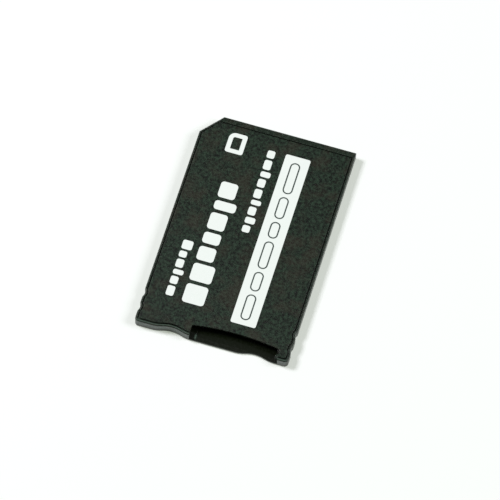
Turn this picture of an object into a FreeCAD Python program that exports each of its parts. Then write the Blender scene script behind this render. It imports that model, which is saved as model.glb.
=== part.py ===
import FreeCAD, Part
import math
import os
import re
import Sketcher

# A card adapter in millimetres. It is itself a thin plug-in card, and a smaller flash card slides
# into the slot at its near end. The origin is the middle of the underside, +X is to the right,
# +Y points to the contact end and +Z is up, through the printed cover.

SIZES = {
    # The outer form of the card
    "card_width": 20.0,
    "card_length": 31.0,
    "card_thickness": 1.6,
    "cut_across": 2.45,
    "cut_along": 2.9,
    "tray_corner_round": 0.5,
    "cover_corner_round": 0.3,
    "cover_thickness": 0.3,
    "cover_chamfer": 0.06,
    "base_chamfer": 0.1,
    "rim_width": 0.25,
    "rim_step": 0.12,
    "rim_chamfer": 0.1,
    "rim_gap": 0.15,
    "far_bar_width": 0.75,
    # The finger grip on both long sides, and the waved near edge
    "notch_length": 1.1,
    "notch_depth": 0.17,
    "notch_from_near": 2.0,
    "notch_spacing": 2.05,
    "wave_depth": 0.42,
    "left_wave_from_side": 2.25,
    "left_wave_past_bay": 0.21,
    "right_wave_from_side": 6.9,
    "right_wave_length": 5.1,
    # The tray's walls and floor
    "floor_thickness": 0.35,
    "side_wall": 0.7,
    "far_wall": 1.05,
    "near_wall": 1.9,
    "divider": 0.4,
    # The bay for the flash card
    "flash_width": 11.0,
    "flash_length": 15.0,
    "flash_nose_width": 9.7,
    "flash_shoulder": 6.4,
    "bay_clearance": 0.05,
    "bay_from_right": 1.76,
    "stop_clearance": 0.1,
    "lead_in_length": 0.3,
    "rail_height": 0.15,
    "rail_width": 0.8,
    "rail_from_near": 0.25,
    "rail_past_mouth": 1.0,
    "rail_lead_in": 0.12,
    # The mouth in the cover, where a thumb pushes the flash card home
    "mouth_margin": 0.4,
    "mouth_depth": 1.5,
    "mouth_crown": 0.43,
    "mouth_round": 0.4,
    "mouth_left_round": 0.2,
    "nub_from_near": 0.5,
    "nub_length": 0.35,
    "nub_reach": 0.02,
    # The circuit board and its fixings
    "board_thickness": 0.3,
    "board_clearance": 0.1,
    "peg_diameter": 0.8,
    "peg_clearance": 0.05,
    "peg_height": 0.2,
    "peg_margin": 1.3,
    "post_diameter": 1.0,
    "post_from_peg": 1.1,
    "post_clearance": 0.02,
    "pin_diameter": 0.6,
    "pin_clearance": 0.05,
    "pin_length": 0.45,
    "pin_near_margin": 1.1,
    "pin_spacing": 5.5,
    # The terminals on the underside, which the host device reads
    "terminal_count": 10,
    "terminal_pitch": 1.6,
    "terminal_width": 1.1,
    "terminal_length": 4.0,
    "terminal_thickness": 0.12,
    "terminal_from_far": 1.25,
    "window_clearance": 0.07,
    "entry_groove_depth": 0.15,
    # The springs that touch the flash card, and the moulded comb that keeps them apart
    "spring_count": 8,
    "spring_pitch": 1.1,
    "spring_width": 0.45,
    "spring_thickness": 0.1,
    "spring_reach": 2.8,
    "spring_rise": 0.3,
    "spring_tip_length": 0.5,
    "spring_tip_drop": 0.08,
    "spring_tail_length": 1.1,
    "spring_lift": 0.02,
    "comb_depth": 0.9,
    "comb_clearance": 0.02,
    "comb_front_wall": 0.4,
    "slot_clearance": 0.075,
    "leg_clearance": 0.1,
    "channel_depth": 0.12,
    "channel_clearance": 0.25,
    # The parts soldered on the board
    "chip_side": 5.0,
    "chip_height": 0.45,
    "chip_chamfer": 0.1,
    "dimple_diameter": 0.6,
    "dimple_depth": 0.08,
    "dimple_margin": 0.8,
    "solder_gap": 0.02,
    "passive_length": 1.0,
    "passive_width": 0.5,
    "capacitor_height": 0.5,
    "resistor_height": 0.35,
    "cap_length": 0.22,
    "cap_proud": 0.02,
    "capacitor_count": 3,
    "resistor_count": 4,
    "passive_pitch": 1.7,
    "passive_from_near": 3.4,
}

TOLERANCE = 1e-5

doc = FreeCAD.newDocument("card_adapter")
sheet = doc.addObject("Spreadsheet::Sheet", "Sizes")
for row, (name, number) in enumerate(SIZES.items(), 1):
    sheet.set(f"A{row}", name)
    sheet.set(f"B{row}", str(number))
    sheet.setAlias(f"B{row}", name)
doc.recompute()


def sized(text):
    """An expression with each size's name written as its cell in the sheet."""
    return re.sub(
        r"[a-z][a-z0-9_]*",
        lambda word: f"Sizes.{word[0]}" if word[0] in SIZES else word[0],
        text,
    )


def size(text):
    """What an expression of sizes comes to, in millimetres."""
    return float(sheet.evalExpression(sized(text)))


# Heights above the underside
SEAM = "(card_thickness - cover_thickness)"
RIM_TOP = "(card_thickness - rim_step)"
RAIL_TOP = "(floor_thickness + rail_height)"
BOARD_TOP = "(floor_thickness + board_thickness)"
PART_SEAT = f"({BOARD_TOP} + solder_gap)"

# Places across the card
LEFT = "(-card_width / 2)"
RIGHT = "(card_width / 2)"
BAY_RIGHT = f"({RIGHT} - bay_from_right)"
BAY_LEFT = f"({BAY_RIGHT} - flash_width - 2 * bay_clearance)"
NOSE_RIGHT = f"({BAY_LEFT} + flash_nose_width + 2 * bay_clearance)"
DIVIDER_LEFT = f"({BAY_LEFT} - divider)"
CHAMBER_LEFT = f"({LEFT} + side_wall)"
CHAMBER_RIGHT = f"({RIGHT} - side_wall)"
STRIP_MIDDLE = f"(({CHAMBER_LEFT} + {DIVIDER_LEFT}) / 2)"
SPRING_MIDDLE = f"(({BAY_LEFT} + {NOSE_RIGHT}) / 2)"
MOUTH_RIGHT = f"({BAY_RIGHT} + mouth_margin)"
LEFT_WAVE_START = f"({LEFT} + left_wave_from_side)"
LEFT_WAVE_LENGTH = f"({BAY_LEFT} + left_wave_past_bay - {LEFT_WAVE_START})"

# Places along the card
NEAR = "(-card_length / 2)"
FAR = "(card_length / 2)"
SEAT_FAR = f"({FAR} - far_bar_width)"
COMB_FRONT = f"({NEAR} + flash_length + stop_clearance)"
COMB_REAR = f"({COMB_FRONT} + comb_depth)"
SHOULDER = f"({COMB_FRONT} - flash_shoulder)"
CHAMBER_NEAR = f"({NEAR} + near_wall)"
CHAMBER_FAR = f"({FAR} - far_wall)"
MOUTH_FAR = f"({NEAR} + mouth_depth)"
MOUTH_OUTSIDE = f"({NEAR} - mouth_round)"
TERMINAL_FAR = f"({FAR} - terminal_from_far)"
TERMINAL_NEAR = f"({TERMINAL_FAR} - terminal_length)"
SPRING_ROOT = f"({COMB_FRONT} + comb_front_wall + leg_clearance + spring_thickness)"
SPRING_TIP = f"({COMB_FRONT} - spring_reach - spring_tip_length)"
FAR_MIDDLE = f"(({COMB_REAR} + {CHAMBER_FAR}) / 2)"


def new_body(label):
    body = doc.addObject("PartDesign::Body", label)
    body.Label = label
    return body


def new_sketch(body, name, level="0", plane="XY_Plane"):
    """A sketch on one of the body's origin planes, lifted to a level along the plane's normal."""
    sketch = body.newObject("Sketcher::SketchObject", name)
    support = next(item for item in body.Origin.OriginFeatures if item.Role == plane)
    sketch.AttachmentSupport = [(support, "")]
    sketch.MapMode = "FlatFace"
    sketch.setExpression("AttachmentOffset.Base.z", sized(level))
    return sketch


def fix_point(sketch, side, end, x, y):
    """Dimension one end of a side from the sketch's origin, with the two sizes bound to the sheet."""
    for kind, place in (("DistanceX", x), ("DistanceY", y)):
        number = sketch.addConstraint(Sketcher.Constraint(kind, -1, 1, side, end, size(place)))
        sketch.setExpression(f"Constraints[{number}]", sized(place))


def arc_between(start, end, radius, bend):
    """The shorter arc between two points. Its centre is to the left of the way there if bend is 1."""
    chord = end.sub(start)
    height = math.sqrt(max(radius**2 - (chord.Length / 2) ** 2, 0))
    left = FreeCAD.Vector(-chord.y, chord.x, 0).normalize()
    centre = (start + end) / 2 + left * height * bend
    first, last = (start, end) if bend > 0 else (end, start)
    angles = [math.atan2(point.y - centre.y, point.x - centre.x) for point in (first, last)]
    circle = Part.Circle(centre, FreeCAD.Vector(0, 0, 1), radius)
    return Part.ArcOfCircle(circle, *angles)


def draw(sketch, corners, closed=True):
    """Draw an outline, anticlockwise, through corners given as (x, y) or (x, y, radius, bend).

    A radius curves the side that leaves its corner.
    """
    places = [FreeCAD.Vector(size(corner[0]), size(corner[1]), 0) for corner in corners]
    first = sketch.GeometryCount
    count = len(corners) if closed else len(corners) - 1
    ends = []
    for number in range(count):
        start, end = places[number], places[(number + 1) % len(corners)]
        if len(corners[number]) > 2:
            radius, bend = corners[number][2:]
            sketch.addGeometry(arc_between(start, end, size(radius), bend), False)
            ends.append((1, 2) if bend > 0 else (2, 1))
        else:
            sketch.addGeometry(Part.LineSegment(start, end), False)
            ends.append((1, 2))
    for number in range(count):
        here = first + number
        fix_point(sketch, here, ends[number][0], *corners[number][:2])
        if closed or number + 1 < count:
            after = (number + 1) % count
            sketch.addConstraint(
                Sketcher.Constraint("Coincident", here, ends[number][1], first + after, ends[after][0])
            )
        else:
            fix_point(sketch, here, ends[number][1], *corners[-1][:2])
        if len(corners[number]) > 2:
            radius = corners[number][2]
            limit = sketch.addConstraint(Sketcher.Constraint("Radius", here, size(radius)))
            sketch.setExpression(f"Constraints[{limit}]", sized(radius))


def draw_rectangle(sketch, left, near, right, far):
    draw(sketch, [(left, near), (right, near), (right, far), (left, far)])


def draw_circle(sketch, x, y, diameter):
    centre = FreeCAD.Vector(size(x), size(y), 0)
    circle = Part.Circle(centre, FreeCAD.Vector(0, 0, 1), size(diameter) / 2)
    number = sketch.addGeometry(circle, False)
    fix_point(sketch, number, 3, x, y)
    limit = sketch.addConstraint(Sketcher.Constraint("Diameter", number, size(diameter)))
    sketch.setExpression(f"Constraints[{limit}]", sized(diameter))


def pad(body, name, sketch, length, down=False):
    feature = body.newObject("PartDesign::Pad", name)
    feature.Profile = sketch
    feature.Reversed = down
    feature.setExpression("Length", sized(length))
    doc.recompute()
    return feature


def pocket(body, name, sketch, depth, up=False):
    """Cut a sketch into the body, down from the sketch's level or up from it, and see that it cuts."""
    before = body.Shape.Volume
    feature = body.newObject("PartDesign::Pocket", name)
    feature.Profile = sketch
    feature.Reversed = up
    feature.setExpression("Length", sized(depth))
    doc.recompute()
    if body.Shape.Volume > before - TOLERANCE:
        raise RuntimeError(f"{body.Label}: {name} cuts nothing")
    return feature


def repeat(body, name, feature, pitch, count):
    """Copies of a feature in a row across the card."""
    pattern = body.newObject("PartDesign::LinearPattern", name)
    pattern.Originals = [feature]
    pattern.Direction = (feature.Profile[0], ["H_Axis"])
    pattern.Mode = "Spacing"
    pattern.setExpression("Offset", sized(pitch))
    pattern.setExpression("Occurrences", sized(count))
    body.Tip = pattern
    doc.recompute()
    return pattern


def chamfer(body, name, feature, width, chosen):
    """Bevel the edges of a feature that a test picks."""
    edges = feature.Shape.Edges
    names = [f"Edge{number}" for number, edge in enumerate(edges, 1) if chosen(edge)]
    bevel = body.newObject("PartDesign::Chamfer", name)
    bevel.Base = (feature, names)
    bevel.setExpression("Size", sized(width))
    doc.recompute()
    return bevel


def lies_at(edge, height):
    return all(abs(vertex.Z - height) < TOLERANCE for vertex in edge.Vertexes)


def wave(start, length, near):
    """Corners of one hollow wave of three arcs of one radius in the near edge."""
    middle = f"{near} + wave_depth / 2"
    radius = f"((({length} / 4) ^ 2 + (wave_depth / 2) ^ 2) / wave_depth)"
    return [
        (start, near, radius, 1),
        (f"{start} + {length} / 4", middle, radius, -1),
        (f"{start} + 3 * {length} / 4", middle, radius, 1),
        (f"{start} + {length}", near),
    ]


def notch_row(side, way):
    """Corners of the two grip notches on one long side, in the order in which the outline meets them."""
    radius = "(((notch_length / 2) ^ 2 + notch_depth ^ 2) / (2 * notch_depth))"
    corners = []
    for step in ("0", "notch_spacing")[::way]:
        middle = f"{NEAR} + notch_from_near + {step}"
        corners.append((side, f"{middle} - {way} * notch_length / 2", radius, -1))
        corners.append((side, f"{middle} + {way} * notch_length / 2"))
    return corners


def cut_corner(inset, far):
    """The two ends of the cut corner's line, moved in by an inset and stopped at the far edge given."""
    slope = "hypot(cut_across; cut_along)"
    far_x = f"{LEFT} + cut_across + ({inset} * {slope} + ({far} - {FAR}) * cut_across) / cut_along"
    left_y = f"{FAR} - cut_along - {inset} * ({slope} - cut_along) / cut_across"
    return [(far_x, far), (f"{LEFT} + {inset}", left_y)]


def card_outline(inset, far, corner):
    """The card seen from above, anticlockwise from its near left corner, moved in by an inset."""
    left = f"({LEFT} + {inset})"
    right = f"({RIGHT} - {inset})"
    near = f"({NEAR} + {inset})"
    return [
        (f"{left} + {corner}", near),
        *wave(LEFT_WAVE_START, LEFT_WAVE_LENGTH, near),
        *wave(f"{RIGHT} - right_wave_from_side", "right_wave_length", near),
        (f"{right} - {corner}", near, corner, 1),
        (right, f"{near} + {corner}"),
        *notch_row(right, 1),
        (right, far),
        *cut_corner(inset, far),
        *notch_row(left, -1),
        (left, f"{near} + {corner}", corner, 1),
    ]


def chamber_outline(inset):
    """The room for the circuit board: the whole far end, and a strip beside the bay."""
    left = f"({CHAMBER_LEFT} + {inset})"
    right = f"({CHAMBER_RIGHT} - {inset})"
    near = f"({CHAMBER_NEAR} + {inset})"
    far = f"({CHAMBER_FAR} - {inset})"
    bay_side = f"({DIVIDER_LEFT} - {inset})"
    front = f"({COMB_REAR} + {inset})"
    return [
        (left, near),
        (bay_side, near),
        (bay_side, front),
        (right, front),
        (right, far),
        *cut_corner(f"(side_wall + {inset})", far),
    ]


def mouth_side():
    """Corners up the right side of the mouth, with the nub that clicks into the flash card's notch."""
    return [
        (MOUTH_RIGHT, MOUTH_OUTSIDE),
        (MOUTH_RIGHT, f"{NEAR} + nub_from_near - nub_length / 2"),
        (f"{BAY_RIGHT} - nub_reach", f"{NEAR} + nub_from_near"),
        (MOUTH_RIGHT, f"{NEAR} + nub_from_near + nub_length"),
    ]


PEG_PLACES = [
    (STRIP_MIDDLE, f"{CHAMBER_NEAR} + peg_margin"),
    (f"{CHAMBER_RIGHT} - peg_margin", FAR_MIDDLE),
]
POST_PLACES = [
    (STRIP_MIDDLE, f"{CHAMBER_NEAR} + peg_margin + post_from_peg"),
    (f"{CHAMBER_LEFT} + peg_margin", COMB_REAR),
    (f"{CHAMBER_LEFT} + peg_margin", FAR_MIDDLE),
    (f"{CHAMBER_RIGHT} - peg_margin", f"{CHAMBER_FAR} - peg_margin"),
]
PIN_MIDDLE = f"({RIGHT} - bay_from_right / 2)"
PIN_PLACES = [
    (f"{LEFT} + near_wall / 2", f"{NEAR} + pin_near_margin"),
    (PIN_MIDDLE, f"{NEAR} + notch_from_near + notch_spacing + pin_spacing / 2"),
    (PIN_MIDDLE, f"{NEAR} + notch_from_near + notch_spacing + 3 * pin_spacing / 2"),
]


def make_bottom_cover():
    """The tray: floor, walls and a rim round the cover's seat, the bay, the chamber and the windows."""
    body = new_body("bottom_cover")
    outline = new_sketch(body, "tray_outline")
    draw(outline, card_outline("0", FAR, "tray_corner_round"))
    block = pad(body, "tray_block", outline, RIM_TOP)
    base = chamfer(body, "tray_base_bevel", block, "base_chamfer", lambda edge: lies_at(edge, 0))
    rim_top = size(RIM_TOP)
    chamfer(body, "tray_rim_bevel", base, "rim_chamfer", lambda edge: lies_at(edge, rim_top))
    seat = new_sketch(body, "cover_seat_outline", RIM_TOP)
    draw(seat, card_outline("rim_width", SEAT_FAR, "(tray_corner_round - rim_width)"))
    pocket(body, "cover_seat", seat, f"{RIM_TOP} - {SEAM}")

    bay = new_sketch(body, "bay_outline", RIM_TOP)
    draw(
        bay,
        [
            (BAY_LEFT, MOUTH_OUTSIDE),
            *mouth_side(),
            (MOUTH_RIGHT, f"{MOUTH_FAR} - lead_in_length"),
            (BAY_RIGHT, MOUTH_FAR),
            (BAY_RIGHT, SHOULDER),
            (NOSE_RIGHT, SHOULDER),
            (NOSE_RIGHT, f"{COMB_REAR} + board_clearance"),
            (BAY_LEFT, f"{COMB_REAR} + board_clearance"),
        ],
    )
    pocket(body, "bay", bay, f"{RIM_TOP} - floor_thickness")
    chamber = new_sketch(body, "chamber_outline", SEAM)
    draw(chamber, chamber_outline("0"))
    pocket(body, "board_chamber", chamber, f"{SEAM} - floor_thickness")

    rails = new_sketch(body, "rail_outline", "floor_thickness")
    left_near = f"{NEAR} + rail_from_near"
    left_far = f"{SPRING_TIP} - 2 * channel_clearance"
    right_near = f"{MOUTH_FAR} + rail_past_mouth"
    draw_rectangle(rails, BAY_LEFT, left_near, f"{BAY_LEFT} + rail_width", left_far)
    draw_rectangle(rails, f"{BAY_RIGHT} - rail_width", right_near, BAY_RIGHT, SHOULDER)
    rail_pad = pad(body, "card_rails", rails, "rail_height")
    rail_top, rail_ends = size(RAIL_TOP), size(right_near)
    chamfer(
        body,
        "rail_end_bevel",
        rail_pad,
        "rail_lead_in",
        lambda edge: lies_at(edge, rail_top) and edge.BoundBox.YMax < rail_ends + TOLERANCE,
    )

    pegs = new_sketch(body, "peg_circles", "floor_thickness")
    for x, y in PEG_PLACES:
        draw_circle(pegs, x, y, "peg_diameter")
    pad(body, "board_pegs", pegs, "board_thickness + peg_height")

    pins = new_sketch(body, "pin_hole_circles", SEAM)
    for x, y in PIN_PLACES:
        draw_circle(pins, x, y, "pin_diameter + 2 * pin_clearance")
    pocket(body, "pin_holes", pins, "pin_length + pin_clearance")

    channel = new_sketch(body, "channel_outline", "floor_thickness")
    channel_side = f"{SPRING_MIDDLE} - (spring_count - 1) * spring_pitch / 2"
    half = "(spring_width / 2 + slot_clearance)"
    draw_rectangle(
        channel,
        f"{channel_side} - {half}",
        f"{SPRING_TIP} - channel_clearance",
        f"{channel_side} + {half}",
        f"{SPRING_ROOT} + channel_clearance",
    )
    first = pocket(body, "spring_channel", channel, "channel_depth")
    repeat(body, "spring_channels", first, "spring_pitch", "spring_count")

    window = new_sketch(body, "window_outline")
    row_start = "(-(terminal_count - 1) * terminal_pitch / 2)"
    half = "(terminal_width / 2 + window_clearance)"
    draw_rectangle(
        window,
        f"{row_start} - {half}",
        f"{TERMINAL_NEAR} - window_clearance",
        f"{row_start} + {half}",
        f"{TERMINAL_FAR} + window_clearance",
    )
    first = pocket(body, "terminal_window", window, "floor_thickness", up=True)
    repeat(body, "terminal_windows", first, "terminal_pitch", "terminal_count")
    entry = new_sketch(body, "entry_outline")
    draw_rectangle(
        entry,
        f"{row_start} - {half}",
        TERMINAL_FAR,
        f"{row_start} + {half}",
        f"{FAR} + window_clearance",
    )
    first = pocket(body, "entry_groove", entry, "entry_groove_depth", up=True)
    repeat(body, "entry_grooves", first, "terminal_pitch", "terminal_count")
    return body


def make_top_cover():
    """The printed cover: a thin moulded plate with the mouth, and posts and pins on its inside."""
    body = new_body("top_cover")
    outline = new_sketch(body, "cover_outline", SEAM)
    cover_far = f"({SEAT_FAR} - rim_gap)"
    draw(outline, card_outline("(rim_width + rim_gap)", cover_far, "cover_corner_round"))
    plate = pad(body, "plate", outline, "cover_thickness")
    top = size("card_thickness")
    chamfer(body, "cover_bevel", plate, "cover_chamfer", lambda edge: lies_at(edge, top))
    mouth = new_sketch(body, "mouth_outline", "card_thickness")
    arc_chord = f"({MOUTH_RIGHT} - mouth_round - {BAY_LEFT} - mouth_left_round)"
    crown_radius = f"((({arc_chord} / 2) ^ 2 + mouth_crown ^ 2) / (2 * mouth_crown))"
    draw(
        mouth,
        [
            (BAY_LEFT, MOUTH_OUTSIDE),
            *mouth_side(),
            (MOUTH_RIGHT, f"{MOUTH_FAR} - mouth_round", "mouth_round", 1),
            (f"{MOUTH_RIGHT} - mouth_round", MOUTH_FAR, crown_radius, 1),
            (f"{BAY_LEFT} + mouth_left_round", MOUTH_FAR, "mouth_left_round", 1),
            (BAY_LEFT, f"{MOUTH_FAR} - mouth_left_round"),
        ],
    )
    pocket(body, "mouth", mouth, "cover_thickness")

    posts = new_sketch(body, "post_circles", SEAM)
    for x, y in POST_PLACES:
        draw_circle(posts, x, y, "post_diameter")
    pad(body, "board_posts", posts, f"{SEAM} - {BOARD_TOP} - post_clearance", down=True)
    pins = new_sketch(body, "pin_circles", SEAM)
    for x, y in PIN_PLACES:
        draw_circle(pins, x, y, "pin_diameter")
    pad(body, "locating_pins", pins, "pin_length", down=True)
    return body


def make_circuit_board():
    """The thin board that joins the springs to the terminals, with a hole for each peg of the tray."""
    body = new_body("circuit_board")
    outline = new_sketch(body, "board_outline", "floor_thickness")
    draw(outline, chamber_outline("board_clearance"))
    pad(body, "board", outline, "board_thickness")
    holes = new_sketch(body, "peg_hole_circles", BOARD_TOP)
    for x, y in PEG_PLACES:
        draw_circle(holes, x, y, "peg_diameter + 2 * peg_clearance")
    pocket(body, "peg_holes", holes, "board_thickness")
    return body


def make_contact_comb():
    """The moulded bar that stops the flash card and keeps the springs apart, each in its own slot."""
    body = new_body("contact_comb")
    outline = new_sketch(body, "comb_outline", "floor_thickness")
    draw_rectangle(
        outline,
        f"{BAY_LEFT} + bay_clearance",
        COMB_FRONT,
        f"{NOSE_RIGHT} - bay_clearance",
        COMB_REAR,
    )
    pad(body, "bar", outline, f"{SEAM} - floor_thickness - comb_clearance")
    first_slot = f"{SPRING_MIDDLE} - (spring_count - 1) * spring_pitch / 2"
    half = "(spring_width / 2 + slot_clearance)"
    passage = new_sketch(body, "passage_outline", "floor_thickness")
    draw_rectangle(
        passage,
        f"{first_slot} - {half}",
        f"{COMB_FRONT} - comb_clearance",
        f"{first_slot} + {half}",
        f"{COMB_REAR} + comb_clearance",
    )
    strip_room = "spring_lift + spring_thickness + slot_clearance"
    first = pocket(body, "spring_passage", passage, strip_room, up=True)
    repeat(body, "spring_passages", first, "spring_pitch", "spring_count")
    leg = new_sketch(body, "leg_slot_outline", "floor_thickness")
    draw_rectangle(
        leg,
        f"{first_slot} - {half}",
        f"{COMB_FRONT} + comb_front_wall",
        f"{first_slot} + {half}",
        f"{COMB_REAR} + comb_clearance",
    )
    leg_room = "board_thickness + spring_lift + spring_thickness + 2 * slot_clearance"
    first = pocket(body, "leg_slot", leg, leg_room, up=True)
    repeat(body, "leg_slots", first, "spring_pitch", "spring_count")
    return body


def make_card_spring(number):
    """One contact spring, a bent strip: a tail on the board, a leg, a root under the comb and a leaf
    that rises to the bump that touches the flash card."""
    label = f"card_spring_{number}"
    path = doc.addObject("Sketcher::SketchObject", f"spring_path_{number}")
    across = FreeCAD.Rotation(FreeCAD.Vector(1, 1, 1), 120)
    path.Placement = FreeCAD.Placement(FreeCAD.Vector(), across)
    tail_level = f"{BOARD_TOP} + spring_lift"
    root_level = "floor_thickness + spring_lift"
    bump_level = f"{RAIL_TOP} + spring_rise - spring_thickness"
    draw(
        path,
        [
            (f"{SPRING_ROOT} + spring_tail_length", tail_level),
            (SPRING_ROOT, tail_level),
            (SPRING_ROOT, root_level),
            (COMB_FRONT, root_level),
            (f"{COMB_FRONT} - spring_reach", bump_level),
            (SPRING_TIP, f"{bump_level} - spring_tip_drop"),
        ],
        closed=False,
    )
    strip = doc.addObject("Part::Offset2D", f"spring_strip_{number}")
    strip.Source = path
    strip.Mode = "Skin"
    strip.Join = "Arc"
    strip.Fill = True
    strip.setExpression("Value", sized("spring_thickness"))
    spring = doc.addObject("Part::Extrusion", label)
    spring.Label = label
    spring.Base = strip
    spring.DirMode = "Custom"
    spring.Dir = FreeCAD.Vector(1, 0, 0)
    spring.Symmetric = True
    spring.Solid = True
    spring.setExpression("LengthFwd", sized("spring_width"))
    place = f"{SPRING_MIDDLE} + ({number} - 1 - (spring_count - 1) / 2) * spring_pitch"
    spring.setExpression("Placement.Base.x", sized(place))
    return spring


def make_box(label, length, width, height):
    box = doc.addObject("Part::Box", label)
    box.Label = label
    for side, extent in (("Length", length), ("Width", width), ("Height", height)):
        box.setExpression(side, sized(extent))
    return box


def place_at(item, x, y, z):
    for axis, place in (("x", x), ("y", y), ("z", z)):
        item.setExpression(f"Placement.Base.{axis}", sized(place))


def make_host_terminal(number):
    """One flat plated terminal, soldered to the board's underside inside its window in the tray."""
    label = f"host_terminal_{number}"
    terminal = make_box(label, "terminal_width", "terminal_length", "terminal_thickness")
    middle = f"({number} - 1 - (terminal_count - 1) / 2) * terminal_pitch"
    place_at(
        terminal,
        f"{middle} - terminal_width / 2",
        TERMINAL_NEAR,
        "floor_thickness - terminal_thickness",
    )
    return terminal


def make_controller_chip():
    """The flat square package that speaks to the host, with a dimple that marks its first lead."""
    case = make_box("chip_case", "chip_side", "chip_side", "chip_height")
    doc.recompute()
    top = size("chip_height")
    bevel = doc.addObject("Part::Chamfer", "chip_bevel")
    bevel.Base = case
    width = size("chip_chamfer")
    bevel.Edges = [
        (number, width, width) for number, edge in enumerate(case.Shape.Edges, 1) if lies_at(edge, top)
    ]
    dimple = doc.addObject("Part::Cylinder", "chip_dimple")
    dimple.setExpression("Radius", sized("dimple_diameter / 2"))
    dimple.setExpression("Height", sized("2 * dimple_depth"))
    place_at(dimple, "dimple_margin", "dimple_margin", "chip_height - dimple_depth")
    chip = doc.addObject("Part::Cut", "controller_chip")
    chip.Label = "controller_chip"
    chip.Base = bevel
    chip.Tool = dimple
    middle = f"(({CHAMBER_LEFT} + {CHAMBER_RIGHT}) / 2)"
    place_at(chip, f"{middle} - chip_side / 2", f"{FAR_MIDDLE} - chip_side / 2", PART_SEAT)
    return chip


def make_passive(label, number, height, column):
    """A ceramic chip part with a plated cap round each end, beside its like in the board's strip."""
    core = make_box(f"{label}_core", "passive_length - 2 * cap_proud", "passive_width", height)
    place_at(core, "cap_proud", "0", "0")
    caps = []
    for end, start in (("left", "0"), ("right", "passive_length - cap_length")):
        cap = make_box(
            f"{label}_{end}_cap",
            "cap_length",
            "passive_width + 2 * cap_proud",
            f"{height} + 2 * cap_proud",
        )
        place_at(cap, start, "-cap_proud", "-cap_proud")
        caps.append(cap)
    passive = doc.addObject("Part::MultiFuse", label)
    passive.Label = label
    passive.Shapes = [core, *caps]
    place_at(
        passive,
        f"{STRIP_MIDDLE} + {column} * ({DIVIDER_LEFT} - {CHAMBER_LEFT}) / 4 - passive_length / 2",
        f"{CHAMBER_NEAR} + passive_from_near + {number - 1} * passive_pitch",
        f"{PART_SEAT} + cap_proud",
    )
    return passive


def whole(name):
    """A count from the sheet."""
    return round(size(name))


pieces = [make_bottom_cover(), make_top_cover(), make_circuit_board(), make_contact_comb()]
for number in range(1, whole("spring_count") + 1):
    pieces.append(make_card_spring(number))
for number in range(1, whole("terminal_count") + 1):
    pieces.append(make_host_terminal(number))
pieces.append(make_controller_chip())
for number in range(1, whole("capacitor_count") + 1):
    pieces.append(make_passive(f"chip_capacitor_{number}", number, "capacitor_height", 1))
for number in range(1, whole("resistor_count") + 1):
    pieces.append(make_passive(f"chip_resistor_{number}", number, "resistor_height", -1))
doc.recompute()

for item in doc.Objects:
    if "Invalid" in item.State or "Error" in item.State:
        raise RuntimeError(f"{item.Name} failed: {item.State}")

os.makedirs("parts", exist_ok=True)
for piece in pieces:
    shape = piece.Shape
    if shape.isNull() or not shape.isValid() or not shape.Solids:
        raise RuntimeError(f"{piece.Label} has no valid solid")
    box = shape.BoundBox
    print(
        f"{piece.Label}: {len(shape.Solids)} solid, {shape.Volume:.3f} mm3,"
        f" x {box.XMin:.2f} {box.XMax:.2f} y {box.YMin:.2f} {box.YMax:.2f}"
        f" z {box.ZMin:.2f} {box.ZMax:.2f}"
    )
    shape.exportStep(f"parts/{piece.Label}.step")
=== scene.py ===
import math

import bpy
from mathutils import Euler, Matrix, Vector


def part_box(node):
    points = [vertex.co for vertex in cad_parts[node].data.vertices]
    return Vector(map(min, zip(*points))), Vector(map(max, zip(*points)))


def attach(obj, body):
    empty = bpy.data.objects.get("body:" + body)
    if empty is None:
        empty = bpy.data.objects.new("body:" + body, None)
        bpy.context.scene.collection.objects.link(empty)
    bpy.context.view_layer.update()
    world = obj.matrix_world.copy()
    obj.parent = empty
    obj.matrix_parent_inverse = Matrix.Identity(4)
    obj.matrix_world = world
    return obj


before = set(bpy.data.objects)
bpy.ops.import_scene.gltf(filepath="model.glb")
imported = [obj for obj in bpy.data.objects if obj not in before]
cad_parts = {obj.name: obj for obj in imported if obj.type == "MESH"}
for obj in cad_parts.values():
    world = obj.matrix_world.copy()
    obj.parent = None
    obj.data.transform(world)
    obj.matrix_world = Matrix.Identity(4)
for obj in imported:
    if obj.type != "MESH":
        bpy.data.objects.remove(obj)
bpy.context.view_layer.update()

# The camera stands before the near edge and a little to the right, high above the card, and looks
# down on it through a long lens, turned a few degrees about its own line of sight.
MM = 0.001
look_at = Vector((0.945, -1.497, 0.827)) * MM
distance = 600 * MM
turn, height, roll = math.radians(13.841), math.radians(63.083), math.radians(3.14)
bpy.ops.object.camera_add()
camera = bpy.context.object
camera.name = "camera"
camera.data.sensor_width = 36
camera.data.lens = 342.5
camera.data.clip_start, camera.data.clip_end = 0.01, 10
aim = Euler((math.pi / 2 - height, 0, turn)).to_matrix() @ Matrix.Rotation(roll, 3, "Z")
camera.matrix_world = Matrix.Translation(look_at + aim.col[2] * distance) @ aim.to_4x4()
bpy.context.scene.camera = camera
bpy.context.scene.view_settings.view_transform = "Standard"

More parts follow.
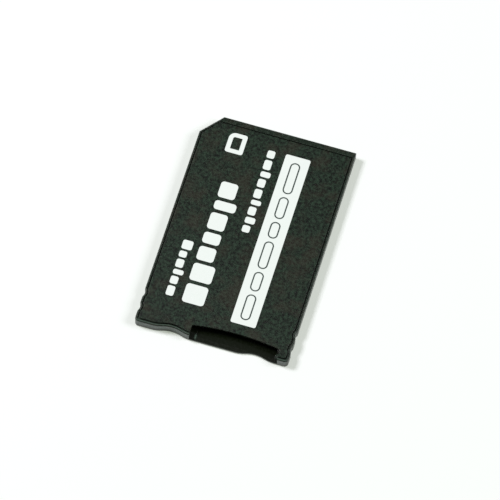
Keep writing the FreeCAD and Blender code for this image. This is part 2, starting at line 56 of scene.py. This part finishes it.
# The table is a sheet of white board, and it keeps the card's soft shadow. What the lens and the
# shiny parts see of it is lifted to plain white.
BOARD_WHITE = (0.66, 0.65, 0.70, 1)
LIFT_WHITE = (0.35, 0.385, 0.32, 1)
FLOOR_LEVEL = -0.01 * MM
bpy.ops.object.select_all(action="DESELECT")
bpy.ops.mesh.primitive_plane_add(size=4, location=(0, 0, FLOOR_LEVEL))
floor = bpy.context.object
floor.name = "floor"
board_white = bpy.data.materials.new("floor_white")
board_white.use_nodes = True
nodes, links = board_white.node_tree.nodes, board_white.node_tree.links
nodes.remove(nodes["Principled BSDF"])
diffuse = nodes.new("ShaderNodeBsdfDiffuse")
diffuse.inputs["Color"].default_value = BOARD_WHITE
lift = nodes.new("ShaderNodeEmission")
lift.inputs["Color"].default_value = LIFT_WHITE
path = nodes.new("ShaderNodeLightPath")
seen = nodes.new("ShaderNodeMath")
seen.operation = "MAXIMUM"
links.new(path.outputs["Is Camera Ray"], seen.inputs[0])
links.new(path.outputs["Is Glossy Ray"], seen.inputs[1])
links.new(seen.outputs[0], lift.inputs["Strength"])
both = nodes.new("ShaderNodeAddShader")
links.new(diffuse.outputs["BSDF"], both.inputs[0])
links.new(lift.outputs["Emission"], both.inputs[1])
links.new(both.outputs["Shader"], nodes["Material Output"].inputs["Surface"])
floor.data.materials.append(board_white)

# The light is a dim pale room and two soft boxes, a strong one high on the left and a weaker one on
# the right.
world = bpy.data.worlds.new("room")
bpy.context.scene.world = world
world.use_nodes = True
background = world.node_tree.nodes["Background"]
background.inputs["Color"].default_value = (0.94, 1, 0.94, 1)
background.inputs["Strength"].default_value = 0.1


def add_softbox(name, place, side, power):
    """A square lamp aimed at the card."""
    bpy.ops.object.light_add(type="AREA", location=place)
    lamp = bpy.context.object
    lamp.name = name
    lamp.rotation_euler = (-Vector(place)).to_track_quat("-Z", "Y").to_euler()
    lamp.data.shape = "SQUARE"
    lamp.data.size = side
    lamp.data.energy = power


add_softbox("softbox_left", place=(-0.32, 0.02, 0.39), side=0.14, power=1.95)
add_softbox("softbox_right", place=(0.35, 0.05, 0.35), side=0.2, power=1.1)

# The tray is the lower half of the housing: floor, walls, bay and windows moulded in one piece of
# black plastic, in a mould with a fine spark-eroded grain. Its edges are painted a little paler,
# partly as rubbed wear and partly as a painted edge highlight.
TRAY_DARK = (0.001, 0.007, 0.002, 1)
TRAY_PALE = (0.010, 0.024, 0.012, 1)
# The pale edge colour is partly rubbed wear and partly a painted highlight.
RUBBED_AND_HIGHLIGHT_PALE = (0.105, 0.160, 0.125, 1)
TINT = (0.027, 0.021, 0.012, 1)
# This black is darker than the tray's own plastic: painted shade, used in the polished boxes.
POLISH_SHADE_BLACK = (0.0042, 0.0062, 0.0024, 1)
BLOTCH_SHARE = 0.45
ROUGHER_WHERE_PALE = 0.12
SMOOTHER_WHERE_POLISHED = 0.08
GRAIN_LEFT_BY_POLISH = 0.3
GRAIN_DEPTH = 0.012 * MM


def new_group(name, inputs, outputs):
    """An empty shader node group with named float inputs and outputs."""
    group = bpy.data.node_groups.new(name, "ShaderNodeTree")
    for label, value in inputs:
        socket = group.interface.new_socket(label, in_out="INPUT", socket_type="NodeSocketFloat")
        socket.default_value = value
    for label in outputs:
        group.interface.new_socket(label, in_out="OUTPUT", socket_type="NodeSocketFloat")
    return group, group.nodes.new("NodeGroupInput"), group.nodes.new("NodeGroupOutput")


def add_noise(group, place, scale, detail=2.0, roughness=0.5):
    """Noise over the piece. The scale is a number or an output that gives it."""
    noise = group.nodes.new("ShaderNodeTexNoise")
    noise.inputs["Detail"].default_value = detail
    noise.inputs["Roughness"].default_value = roughness
    group.links.new(place, noise.inputs["Vector"])
    if isinstance(scale, (int, float)):
        noise.inputs["Scale"].default_value = scale
    else:
        group.links.new(scale, noise.inputs["Scale"])
    return noise.outputs["Fac"]


def add_range(group, value, low, high, start=0.0, end=1.0):
    """Stretch a value so that low gives start and high gives end."""
    span = group.nodes.new("ShaderNodeMapRange")
    group.links.new(value, span.inputs["Value"])
    limits = {"From Min": low, "From Max": high, "To Min": start, "To Max": end}
    for label, number in limits.items():
        span.inputs[label].default_value = number
    return span.outputs["Result"]


def add_math(group, operation, first, second=None):
    """One Math node. Each input is a number or an output."""
    node = group.nodes.new("ShaderNodeMath")
    node.operation = operation
    for number, value in enumerate((first, second)):
        if isinstance(value, (int, float)):
            node.inputs[number].default_value = value
        elif value is not None:
            group.links.new(value, node.inputs[number])
    return node.outputs[0]


# The grain of the mould, the mottle of its colour and larger faint blotches, each from 0 to 1.
moulded_grain, start, end = new_group(
    "moulded_grain",
    [("Grain Scale", 8000), ("Blotch Scale", 380)],
    ["Grain", "Mottle", "Blotches"],
)
place = moulded_grain.nodes.new("ShaderNodeTexCoord").outputs["Object"]
grain_scale, blotch_scale = start.outputs["Grain Scale"], start.outputs["Blotch Scale"]
grain = add_noise(moulded_grain, place, grain_scale, detail=3, roughness=0.65)
mottle = add_noise(moulded_grain, place, 2600, detail=4, roughness=0.75)
blotches = add_noise(moulded_grain, place, blotch_scale, detail=3, roughness=0.55)
moulded_grain.links.new(add_range(moulded_grain, grain, 0.25, 0.75), end.inputs["Grain"])
moulded_grain.links.new(add_range(moulded_grain, mottle, 0.40, 0.62), end.inputs["Mottle"])
moulded_grain.links.new(add_range(moulded_grain, blotches, 0.48, 0.64), end.inputs["Blotches"])

# How much an edge is paler, in broken patches, and the normal that rounds it a little. The paling
# is partly rubbed wear and partly a painted edge highlight. An edge is where the rounded normal
# leaves the flat one.
worn_and_highlit_edges, start, end = new_group(
    "worn_and_highlit_edges", [("Width", 0.06 * MM), ("Amount", 0.6)], ["Rubbed"]
)
worn_and_highlit_edges.interface.new_socket("Normal", in_out="OUTPUT", socket_type="NodeSocketVector")
place = worn_and_highlit_edges.nodes.new("ShaderNodeTexCoord").outputs["Object"]
rounded = worn_and_highlit_edges.nodes.new("ShaderNodeBevel")
rounded.samples = 6
worn_and_highlit_edges.links.new(start.outputs["Width"], rounded.inputs["Radius"])
flat = worn_and_highlit_edges.nodes.new("ShaderNodeNewGeometry")
likeness = worn_and_highlit_edges.nodes.new("ShaderNodeVectorMath")
likeness.operation = "DOT_PRODUCT"
worn_and_highlit_edges.links.new(rounded.outputs["Normal"], likeness.inputs[0])
worn_and_highlit_edges.links.new(flat.outputs["True Normal"], likeness.inputs[1])
edge = add_range(worn_and_highlit_edges, likeness.outputs["Value"], low=0.995, high=0.93)
patches = add_noise(worn_and_highlit_edges, place, 2500, detail=3)
broken = add_range(worn_and_highlit_edges, patches, low=0.35, high=0.65, start=0.35)
paling = add_math(worn_and_highlit_edges, "MULTIPLY", edge, broken)
paling = add_math(worn_and_highlit_edges, "MULTIPLY", paling, start.outputs["Amount"])
worn_and_highlit_edges.links.new(paling, end.inputs["Rubbed"])
worn_and_highlit_edges.links.new(rounded.outputs["Normal"], end.inputs["Normal"])

# 1 inside a box and 0 outside it, with soft sides. Such boxes mark the places that differ. The
# mould was polished where the flash card slides and where the cover sits; there the plastic is also
# painted blacker, as painted shade in the mouth under the cover's lip and in the groove round the
# cover. The near wall, the near rim and the end of the rail are painted paler, as painted
# highlights.
sides = ("Left", "Right", "Near", "Far", "Low", "High")
inside_box, start, end = new_group(
    "inside_box", [(side, 0) for side in sides] + [("Soft", 0.005 * MM)], ["Inside"]
)
parted = inside_box.nodes.new("ShaderNodeSeparateXYZ")
place = inside_box.nodes.new("ShaderNodeTexCoord").outputs["Object"]
inside_box.links.new(place, parted.inputs["Vector"])
inside = 1.0
for axis, least, most in (("X", "Left", "Right"), ("Y", "Near", "Far"), ("Z", "Low", "High")):
    for side, way in ((least, 1), (most, -1)):
        depth = add_math(inside_box, "SUBTRACT", parted.outputs[axis], start.outputs[side])
        depth = add_math(inside_box, "DIVIDE", depth, start.outputs["Soft"])
        inside = add_math(inside_box, "MULTIPLY", add_range(inside_box, depth, -way, way), inside)
inside_box.links.new(inside, end.inputs["Inside"])


def new_material(name, metallic, specular):
    """A material, its node tree and its Principled shader, with the plain sockets set."""
    material = bpy.data.materials.new(name)
    material.use_nodes = True
    shader = material.node_tree.nodes["Principled BSDF"]
    shader.inputs["Metallic"].default_value = metallic
    shader.inputs["Specular IOR Level"].default_value = specular
    return material, material.node_tree, shader


def place_group(tree, group, **values):
    """The group as a node of a material, with its inputs set by name."""
    node = tree.nodes.new("ShaderNodeGroup")
    node.node_tree = group
    for label, value in values.items():
        node.inputs[label.replace("_", " ")].default_value = value
    return node


def mix_colours(tree, amount, first, second):
    """The two colours mixed by an amount. Each colour is four numbers or an output."""
    mix = tree.nodes.new("ShaderNodeMix")
    mix.data_type = "RGBA"
    tree.links.new(amount, mix.inputs["Factor"])
    for label, colour in (("A", first), ("B", second)):
        socket = next(i for i in mix.inputs if i.name == label and i.type == "RGBA")
        if isinstance(colour, tuple):
            socket.default_value = colour
        else:
            tree.links.new(colour, socket)
    return next(o for o in mix.outputs if o.type == "RGBA")


def add_coat(tree, shader, colour, rough):
    """Drive the shader's colour and roughness."""
    tree.links.new(colour, shader.inputs["Base Color"])
    tree.links.new(rough, shader.inputs["Roughness"])


def add_bump(tree, shader, height, depth, base=None):
    """Drive the shader's normal by a height from 0 to 1, with a depth in metres."""
    bump = tree.nodes.new("ShaderNodeBump")
    bump.inputs["Distance"].default_value = depth
    tree.links.new(height, bump.inputs["Height"])
    if base:
        tree.links.new(base, bump.inputs["Normal"])
    tree.links.new(bump.outputs["Normal"], shader.inputs["Normal"])


def dress(material, *names):
    """Give CAD nodes their finish."""
    for name in names:
        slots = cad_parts[name].data.materials
        slots.clear()
        slots.append(material)


def within(tree, box):
    """1 inside a box given by its sides in millimetres, and 0 outside it. Soft blurs its sides."""
    in_metres = {side: number * MM for side, number in box.items()}
    return place_group(tree, inside_box, **in_metres).outputs["Inside"]


def black_plastic(
    name, dark, pale, tint, roughness, edge_wear_and_highlight, specular=0.5, polished_shaded_boxes=(), painted_highlights=()
):
    """Matte black moulded plastic: mottled, faintly blotched, grained, and paler on its edges,
    partly from wear and partly as a painted edge highlight.

    The polished boxes, in millimetres, are smooth, and their blacker colour is painted shade. The
    highlight boxes each carry how much the surface there is painted paler, as a painted highlight.
    """
    material, tree, shader = new_material(name, 0, specular)
    grained = place_group(tree, moulded_grain)
    edges = place_group(tree, worn_and_highlit_edges, Amount=edge_wear_and_highlight)
    colour = mix_colours(tree, grained.outputs["Mottle"], dark, pale)
    faint = add_math(tree, "MULTIPLY", grained.outputs["Blotches"], BLOTCH_SHARE)
    colour = mix_colours(tree, faint, colour, tint)
    # Edges are made paler: partly wear, partly a painted edge highlight.
    colour = mix_colours(tree, edges.outputs["Rubbed"], colour, RUBBED_AND_HIGHLIGHT_PALE)
    roughest = roughness + ROUGHER_WHERE_PALE
    rough = add_range(tree, grained.outputs["Mottle"], 0, 1, roughness, roughest)
    height = grained.outputs["Grain"]
    # In the polished boxes the plastic is smoother, less grained and painted blacker: painted
    # shade.
    for box in polished_shaded_boxes:
        inside = within(tree, box)
        colour = mix_colours(tree, inside, colour, POLISH_SHADE_BLACK)
        grain_left = add_range(tree, inside, 0, 1, 1, GRAIN_LEFT_BY_POLISH)
        height = add_math(tree, "MULTIPLY", height, grain_left)
        smoother = add_math(tree, "MULTIPLY", inside, SMOOTHER_WHERE_POLISHED)
        rough = add_math(tree, "SUBTRACT", rough, smoother)
    # In these boxes the surface is painted paler: painted highlights.
    for box, amount in painted_highlights:
        paling = add_math(tree, "MULTIPLY", within(tree, box), amount)
        colour = mix_colours(tree, paling, colour, RUBBED_AND_HIGHLIGHT_PALE)
    add_coat(tree, shader, colour, rough)
    add_bump(tree, shader, height, GRAIN_DEPTH, edges.outputs["Normal"])
    return material


# The bay and the seat are painted blacker: painted shade in the mouth under the cover's lip and in
# the groove round the cover.
BAY_SHADE_BOX = {"Left": -2.9, "Right": 8.7, "Near": -15.6, "Far": 0.6, "Low": 0.32, "High": 1.4}
SEAT_SHADE_BOX = {"Left": -9.8, "Right": 9.8, "Near": -14.9, "Far": 15.4, "Low": 0.32, "High": 1.47}
# The near rim, the near wall and the end of the rail are painted paler: painted highlights.
NEAR_RIM_HIGHLIGHT = {"Left": -9.8, "Right": 9.8, "Near": -15.6, "Far": -14.7, "Low": 1.47, "High": 1.49}
NEAR_WALL_HIGHLIGHT = {
    "Left": -9.8,
    "Right": 9.8,
    "Near": -15.6,
    "Far": -15.0,
    "Low": 0.7,
    "High": 1.25,
    "Soft": 0.1,
}
RAIL_END_HIGHLIGHT = {
    "Left": -2.25,
    "Right": -2.0,
    "Near": -15.3,
    "Far": -14.7,
    "Low": 0.3,
    "High": 0.6,
    "Soft": 0.1,
}
tray_black = black_plastic(
    "tray_plastic",
    TRAY_DARK,
    TRAY_PALE,
    TINT,
    roughness=0.3,
    edge_wear_and_highlight=0.3,
    specular=0.65,
    polished_shaded_boxes=(BAY_SHADE_BOX, SEAT_SHADE_BOX),
    painted_highlights=((NEAR_WALL_HIGHLIGHT, 0.6), (NEAR_RIM_HIGHLIGHT, 0.33), (RAIL_END_HIGHLIGHT, 1.0)),
)
dress(tray_black, "bottom_cover")

# The ten host terminals lie in the tray's windows under the board's far end: copper lands with
# hard gold on nickel. Each push into a host draws fine scratches along them.
TERMINAL_GOLD = (0.86, 0.62, 0.27, 1)
TERMINAL_WORN = (0.66, 0.55, 0.38, 1)
ROUGHER_WHERE_WORN = 0.22
SCRATCH_DEPTH = 0.002 * MM
wiped_metal, start, end = new_group(
    "wiped_metal", [("Across", 9000), ("Along", 250)], ["Scratch"]
)
place = wiped_metal.nodes.new("ShaderNodeTexCoord").outputs["Object"]
parted = wiped_metal.nodes.new("ShaderNodeSeparateXYZ")
joined = wiped_metal.nodes.new("ShaderNodeCombineXYZ")
wiped_metal.links.new(place, parted.inputs["Vector"])
for axis, spread in (("X", "Across"), ("Y", "Along"), ("Z", "Across")):
    stretched = add_math(wiped_metal, "MULTIPLY", parted.outputs[axis], start.outputs[spread])
    wiped_metal.links.new(stretched, joined.inputs[axis])
lines = add_noise(wiped_metal, joined.outputs["Vector"], 1, detail=3, roughness=0.6)
wiped_metal.links.new(add_range(wiped_metal, lines, 0.5, 0.72), end.inputs["Scratch"])


def plated_metal(name, bright, worn, roughness, across, along):
    """Bright plating with fine lines of wear along one way."""
    material, tree, shader = new_material(name, 1, 0.5)
    wiped = place_group(tree, wiped_metal, Across=across, Along=along)
    scratch = wiped.outputs["Scratch"]
    colour = mix_colours(tree, scratch, bright, worn)
    rough = add_range(tree, scratch, 0, 1, roughness, roughness + ROUGHER_WHERE_WORN)
    add_coat(tree, shader, colour, rough)
    add_bump(tree, shader, scratch, SCRATCH_DEPTH)
    return material


terminals = [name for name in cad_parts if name.startswith("host_terminal_")]
terminal_plating = plated_metal(
    "terminal_plating", TERMINAL_GOLD, TERMINAL_WORN, roughness=0.24, across=9000, along=250
)
dress(terminal_plating, *terminals)

# The circuit board is thin glass laminate under green solder mask. It fills the far end of the tray
# and the strip beside the bay, and sits on the tray's floor round two pegs.
MASK_GREEN = (0.010, 0.085, 0.038, 1)
MASK_DEEP = (0.006, 0.050, 0.024, 1)
material, tree, shader = new_material("board_laminate", 0, 0.5)
grained = place_group(tree, moulded_grain, Grain_Scale=5200, Blotch_Scale=300)
colour = mix_colours(tree, grained.outputs["Blotches"], MASK_GREEN, MASK_DEEP)
rough = add_range(tree, grained.outputs["Mottle"], 0, 1, start=0.22, end=0.34)
add_coat(tree, shader, colour, rough)
add_bump(tree, shader, grained.outputs["Grain"], depth=0.003 * MM)
dress(material, "circuit_board")

# The comb is a small black bar moulded on the board's front edge. It stops the flash card and keeps
# the springs apart, and its plastic is plainer than the housing's.
COMB_DARK = (0.010, 0.010, 0.011, 1)
COMB_PALE = (0.020, 0.020, 0.021, 1)
comb_plastic = black_plastic(
    "comb_plastic", COMB_DARK, COMB_PALE, tint=COMB_PALE, roughness=0.42, edge_wear_and_highlight=0.3
)
dress(comb_plastic, "contact_comb")

# The eight card springs are strips of phosphor bronze, stamped and bent, then plated with gold. The
# wear runs along the strip, where the flash card rubs it.
SPRING_GOLD = (0.88, 0.66, 0.31, 1)
SPRING_WORN = (0.72, 0.50, 0.27, 1)
springs = [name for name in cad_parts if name.startswith("card_spring_")]
spring_metal = plated_metal(
    "spring_metal", SPRING_GOLD, SPRING_WORN, roughness=0.2, across=12000, along=350
)
dress(spring_metal, *springs)

# The controller chip is a flat square package of black filled resin, with a dimple that marks its
# first lead. Its face is a fine, even matt from the mould.
RESIN_DARK = (0.008, 0.008, 0.009, 1)
RESIN_PALE = (0.017, 0.017, 0.018, 1)
chip_resin = black_plastic(
    "chip_resin", RESIN_DARK, RESIN_PALE, tint=RESIN_PALE, roughness=0.55, edge_wear_and_highlight=0.2
)
dress(chip_resin, "controller_chip")

# The chip capacitors and resistors are fired ceramic, tan and black, with a tinned cap round each
# end that the solder holds. One material paints body and caps, by the distance from the middle.
CAPACITOR_TAN = (0.36, 0.24, 0.14, 1)
RESISTOR_BLACK = (0.012, 0.012, 0.015, 1)
TIN = (0.62, 0.62, 0.60, 1)
CAP_START = 0.28 * MM
SPECKLE_SHARE = 0.3


def capped_ceramic(name, body, middle):
    """Ceramic with tinned ends. The middle is where the part's centre lies across the card."""
    material, tree, shader = new_material(name, 0, 0.5)
    parted = tree.nodes.new("ShaderNodeSeparateXYZ")
    tree.links.new(tree.nodes.new("ShaderNodeTexCoord").outputs["Object"], parted.inputs["Vector"])
    away = add_math(tree, "ABSOLUTE", add_math(tree, "SUBTRACT", parted.outputs["X"], middle))
    cap = add_math(tree, "GREATER_THAN", away, CAP_START)
    grained = place_group(tree, moulded_grain, Grain_Scale=9000)
    speckles = add_math(tree, "MULTIPLY", grained.outputs["Mottle"], SPECKLE_SHARE)
    speckled = mix_colours(tree, speckles, body, TIN)
    rough = add_range(tree, grained.outputs["Mottle"], 0, 1, start=0.3, end=0.45)
    add_coat(tree, shader, mix_colours(tree, cap, speckled, TIN), rough)
    tree.links.new(cap, shader.inputs["Metallic"])
    add_bump(tree, shader, grained.outputs["Grain"], depth=0.004 * MM)
    return material


for kind, body in (("capacitor", CAPACITOR_TAN), ("resistor", RESISTOR_BLACK)):
    parts = [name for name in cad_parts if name.startswith(f"chip_{kind}_")]
    low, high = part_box(parts[0])
    dress(capped_ceramic(f"{kind}_ceramic", body, (low.x + high.x) / 2), *parts)

# The printed cover is the thin upper half, moulded in the same black plastic with the mouth in its
# near edge. It is welded down on the tray.
COVER_DARK = (0.0002, 0.0015, 0.0004, 1)
COVER_PALE = (0.0110, 0.0330, 0.0155, 1)
# Inside this box the cover below its top is painted blacker: painted shade on the mouth's lip wall
# and on the cover's walls in the groove.
COVER_UNDER_SHADE_BOX = {"Left": -9.9, "Right": 9.9, "Near": -15.6, "Far": 15, "Low": 0.3, "High": 1.56}
cover_black = black_plastic(
    "cover_plastic",
    COVER_DARK,
    COVER_PALE,
    TINT,
    roughness=0.36,
    edge_wear_and_highlight=0.05,
    polished_shaded_boxes=(COVER_UNDER_SHADE_BOX,),
)
dress(cover_black, "top_cover")

# The print is screen ink on the cover: a white field with outlined pills on it, rows of plain white
# blocks beside it, and a frame with one corner cut off. It stands a hair above the plastic.
INK_WHITE = (0.935, 0.985, 0.955, 1)
INK_SHADE = (0.880, 0.950, 0.900, 1)
INK_DARK = (0.055, 0.080, 0.070, 1)
CLOUD_SHARE = 0.6
INK_FILM = 0.012 * MM
COVER_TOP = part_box("top_cover")[1].z
SMALLEST_CORNER = 0.06
CUT_LOST_INSIDE = 2 - math.sqrt(2)


def printed_ink(name, ink, shade):
    """Screen ink: almost even, with a faint cloud and the cover's grain showing through."""
    material, tree, shader = new_material(name, 0, 0.5)
    grained = place_group(tree, moulded_grain)
    cloud = add_math(tree, "MULTIPLY", grained.outputs["Mottle"], CLOUD_SHARE)
    rough = add_range(tree, grained.outputs["Mottle"], 0, 1, start=0.42, end=0.55)
    add_coat(tree, shader, mix_colours(tree, cloud, ink, shade), rough)
    add_bump(tree, shader, grained.outputs["Grain"], depth=0.006 * MM)
    return material


white_ink = printed_ink("print_white", INK_WHITE, INK_SHADE)
dark_ink = printed_ink("print_dark", INK_DARK, INK_DARK)


def flat_outline(left, right, near, far, corner, level, cut=0):
    """A flat rectangle in millimetres with rounded corners. Cut takes its far left corner off."""
    bpy.ops.object.select_all(action="DESELECT")
    middle = Vector(((left + right) / 2 * MM, (near + far) / 2 * MM, level))
    bpy.ops.mesh.primitive_plane_add(size=1, location=middle)
    patch = bpy.context.object
    patch.scale = ((right - left) * MM, (far - near) * MM, 1)
    bpy.ops.object.transform_apply(location=True, rotation=True, scale=True)
    if cut:
        bpy.ops.object.mode_set(mode="EDIT")
        bpy.ops.mesh.select_all(action="DESELECT")
        bpy.ops.object.mode_set(mode="OBJECT")
        for vertex in patch.data.vertices:
            vertex.select = vertex.co.x < middle.x and vertex.co.y > middle.y
        bpy.ops.object.mode_set(mode="EDIT")
        bpy.ops.mesh.bevel(offset=cut * MM, segments=1, affect="VERTICES")
        bpy.ops.object.mode_set(mode="OBJECT")
    bpy.ops.object.mode_set(mode="EDIT")
    bpy.ops.mesh.select_all(action="SELECT")
    bpy.ops.mesh.bevel(offset=corner * MM, segments=6, affect="VERTICES")
    bpy.ops.object.mode_set(mode="OBJECT")
    return patch


def raise_film(patch):
    """Give the flat patch the film's thickness and close it."""
    bpy.ops.object.mode_set(mode="EDIT")
    bpy.ops.mesh.select_all(action="SELECT")
    bpy.ops.mesh.extrude_region_move(TRANSFORM_OT_translate={"value": (0, 0, INK_FILM)})
    bpy.ops.mesh.select_all(action="SELECT")
    bpy.ops.mesh.normals_make_consistent(inside=False)
    bpy.ops.object.mode_set(mode="OBJECT")
    return patch


def block(left, right, near, far, corner):
    """A solid block of ink with rounded corners."""
    return raise_film(flat_outline(left, right, near, far, corner, COVER_TOP))


def frame_line(left, right, near, far, corner, stroke, level=COVER_TOP, cut=0):
    """A closed line of ink: the strip between one rounded outline and another inside it.

    The inner cut is shorter by a share of the stroke, so the line is as wide there as elsewhere.
    """
    inner = flat_outline(
        left + stroke,
        right - stroke,
        near + stroke,
        far - stroke,
        max(corner - stroke, SMALLEST_CORNER),
        level,
        max(cut - stroke * CUT_LOST_INSIDE, 0),
    )
    outer = flat_outline(left, right, near, far, corner, level, cut)
    inner.select_set(True)
    bpy.ops.object.join()
    bpy.ops.object.mode_set(mode="EDIT")
    bpy.ops.mesh.select_all(action="SELECT")
    bpy.ops.mesh.delete(type="ONLY_FACE")
    bpy.ops.mesh.select_all(action="SELECT")
    bpy.ops.mesh.bridge_edge_loops()
    bpy.ops.object.mode_set(mode="OBJECT")
    return raise_film(outer)


def print_piece(name, patches, ink):
    """Join patches into one printed piece that rides on the housing."""
    bpy.ops.object.select_all(action="DESELECT")
    for patch in patches:
        patch.select_set(True)
    bpy.context.view_layer.objects.active = patches[0]
    if len(patches) > 1:
        bpy.ops.object.join()
    piece = bpy.context.object
    piece.name = piece.data.name = name
    piece.data.materials.append(ink)
    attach(piece, "adapter")


def spaced(far, gap, lengths):
    """Near and far ends of pieces laid one after the other, from the far end to the near one."""
    for length in lengths:
        yield far - length, far
        far -= length + gap


def block_row(name, foot, low_top, high_top, far, gap, corner, lengths, high):
    """A row of blocks that stand on one line. Those numbered in high reach further up."""
    blocks = []
    for number, (near_end, far_end) in enumerate(spaced(far, gap, lengths), 1):
        top = high_top if number in high else low_top
        blocks.append(block(foot, top, near_end, far_end, corner))
    print_piece(name, blocks, white_ink)


field = block(left=1.53, right=4.81, near=-12.22, far=12.62, corner=0.25)
print_piece("print_field", [field], white_ink)
pill = {"left": 2.5, "right": 3.8, "corner": 0.62, "stroke": 0.17}
pills = [
    frame_line(near=near_end, far=far_end, level=COVER_TOP + INK_FILM, **pill)
    for near_end, far_end in spaced(far=11.7, gap=0.5, lengths=(4.6, 3.2, 2.4, 4.0, 2.8, 3.7))
]
print_piece("print_field_marks", pills, dark_ink)
block_row(
    "print_broad_row",
    foot=-5.15,
    low_top=-2.9,
    high_top=-2.3,
    far=6.5,
    gap=0.5,
    corner=0.42,
    lengths=(2.3, 1.3, 2.4, 1.6, 2.0, 2.5, 2.7),
    high=(2, 6, 7),
)
block_row(
    "print_far_row",
    foot=-0.8,
    low_top=0.2,
    high_top=0.5,
    far=12.5,
    gap=0.32,
    corner=0.26,
    lengths=(1.1, 1.4, 0.8, 1.2, 1.3, 0.7, 1.2, 0.9, 1.0),
    high=(3, 6, 8),
)
block_row(
    "print_near_row",
    foot=-7.35,
    low_top=-6.35,
    high_top=-6.0,
    far=-2.9,
    gap=0.3,
    corner=0.26,
    lengths=(1.3, 0.9, 1.2, 0.7, 1.1, 1.4),
    high=(1, 4),
)
cut_frame = frame_line(
    left=-6.15, right=-3.8, near=10.7, far=13.6, corner=0.3, stroke=0.58, cut=0.5
)
print_piece("print_card_outline", [cut_frame], white_ink)
